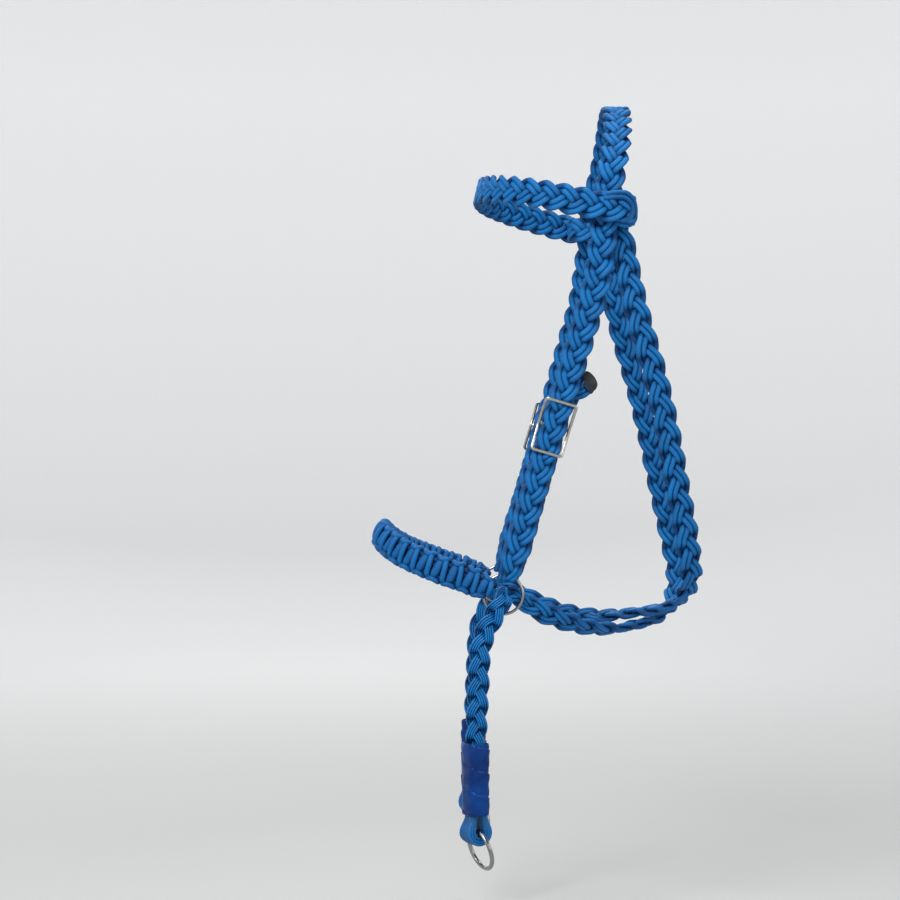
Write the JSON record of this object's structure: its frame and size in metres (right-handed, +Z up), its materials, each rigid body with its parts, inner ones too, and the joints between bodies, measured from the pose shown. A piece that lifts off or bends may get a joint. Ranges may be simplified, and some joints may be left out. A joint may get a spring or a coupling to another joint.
{
  "type": "cross-under bitless bridle",
  "caption": "Hand-braided cord bitless bridle with knotted noseband, browband, sliding cheek buckles and cross-under straps ending in rein rings.",
  "frame": {"origin": "underside of the crown braid on the head's middle plane, where it rests on the poll", "axes": "+Z up, -X towards the nose, +X towards the neck, -Y towards the near (left) side"},
  "size_m": [0.3, 0.224, 0.6965],
  "materials": {
    "headpiece_braid": "braided nylon cord, bright blue",
    "noseband_cord": "knotted nylon cord, bright blue",
    "rein_braid": "braided fine nylon cord, bright blue with a silky sheen",
    "tape": "wound vinyl tape, deep blue",
    "sealed_end": "heat-sealed cord end, black",
    "slide_steel": "brushed nickel-plated steel",
    "ring_steel": "polished welded steel ring"
  },
  "bodies": {
    "headpiece": {"crown_strap": "headpiece_braid", "near_cheek_strap": "headpiece_braid", "off_cheek_strap": "headpiece_braid", "near_cheek_return": "headpiece_braid", "off_cheek_return": "headpiece_braid", "near_tail_tip": "sealed_end", "off_tail_tip": "sealed_end", "near_cross_under": "headpiece_braid", "off_cross_under": "headpiece_braid"},
    "near_slide": {"near_slide": "slide_steel"},
    "off_slide": {"off_slide": "slide_steel"},
    "near_side_ring": {"near_side_ring": "ring_steel"},
    "off_side_ring": {"off_side_ring": "ring_steel"},
    "noseband": {"noseband_core": "noseband_cord", "noseband_wrap": "noseband_cord", "near_noseband_loop": "noseband_cord", "off_noseband_loop": "noseband_cord"},
    "browband": {"browband_strap": "headpiece_braid", "near_browband_loop": "headpiece_braid", "off_browband_loop": "headpiece_braid"},
    "near_rein": {"near_rein_strap": "rein_braid", "near_rein_end_loop": "rein_braid", "near_tape_wrap": "tape"},
    "off_rein": {"off_rein_strap": "rein_braid", "off_rein_end_loop": "rein_braid", "off_tape_wrap": "tape"},
    "near_rein_ring": {"near_rein_ring": "ring_steel"},
    "off_rein_ring": {"off_rein_ring": "ring_steel"}
  },
  "joints": [
    {"name": "near_slide_adjust", "type": "slide", "parent": "headpiece", "child": "near_slide", "axis": [0.2829, -0.0872, 0.9552], "range_m": [-0.06, 0.02]},
    {"name": "near_side_ring_spin", "type": "hinge", "parent": "headpiece", "child": "near_side_ring", "pos_m": [-0.105, -0.068, -0.44], "axis": [0, 1, 0], "continuous": true},
    {"name": "near_rein_swing", "type": "hinge", "parent": "headpiece", "child": "near_rein", "pos_m": [-0.105, -0.068, -0.44], "axis": [0, -1, 0], "range_deg": [-25, 90]},
    {"name": "near_rein_ring_swing", "type": "hinge", "parent": "near_rein", "child": "near_rein_ring", "pos_m": [-0.13, -0.079, -0.6515], "axis": [0.5, -0.866, 0], "range_deg": [-75, 42]},
    {"name": "off_slide_adjust", "type": "slide", "parent": "headpiece", "child": "off_slide", "axis": [0.2829, 0.0872, 0.9552], "range_m": [-0.06, 0.02]},
    {"name": "off_side_ring_spin", "type": "hinge", "parent": "headpiece", "child": "off_side_ring", "pos_m": [-0.105, 0.068, -0.44], "axis": [0, 1, 0], "continuous": true},
    {"name": "off_rein_swing", "type": "hinge", "parent": "headpiece", "child": "off_rein", "pos_m": [-0.105, 0.068, -0.44], "axis": [0, -1, 0], "range_deg": [-25, 90]},
    {"name": "off_rein_ring_swing", "type": "hinge", "parent": "off_rein", "child": "off_rein_ring", "pos_m": [-0.13, 0.079, -0.6515], "axis": [-0.5, -0.866, 0], "range_deg": [-75, 42]},
    {"name": "noseband_swing", "type": "hinge", "parent": "headpiece", "child": "noseband", "pos_m": [-0.105, 0, -0.44], "axis": [0, -1, 0], "range_deg": [-10, 25]},
    {"name": "browband_slide", "type": "slide", "parent": "headpiece", "child": "browband", "axis": [0, 0, 1], "range_m": [0, 0.01]}
  ]
}
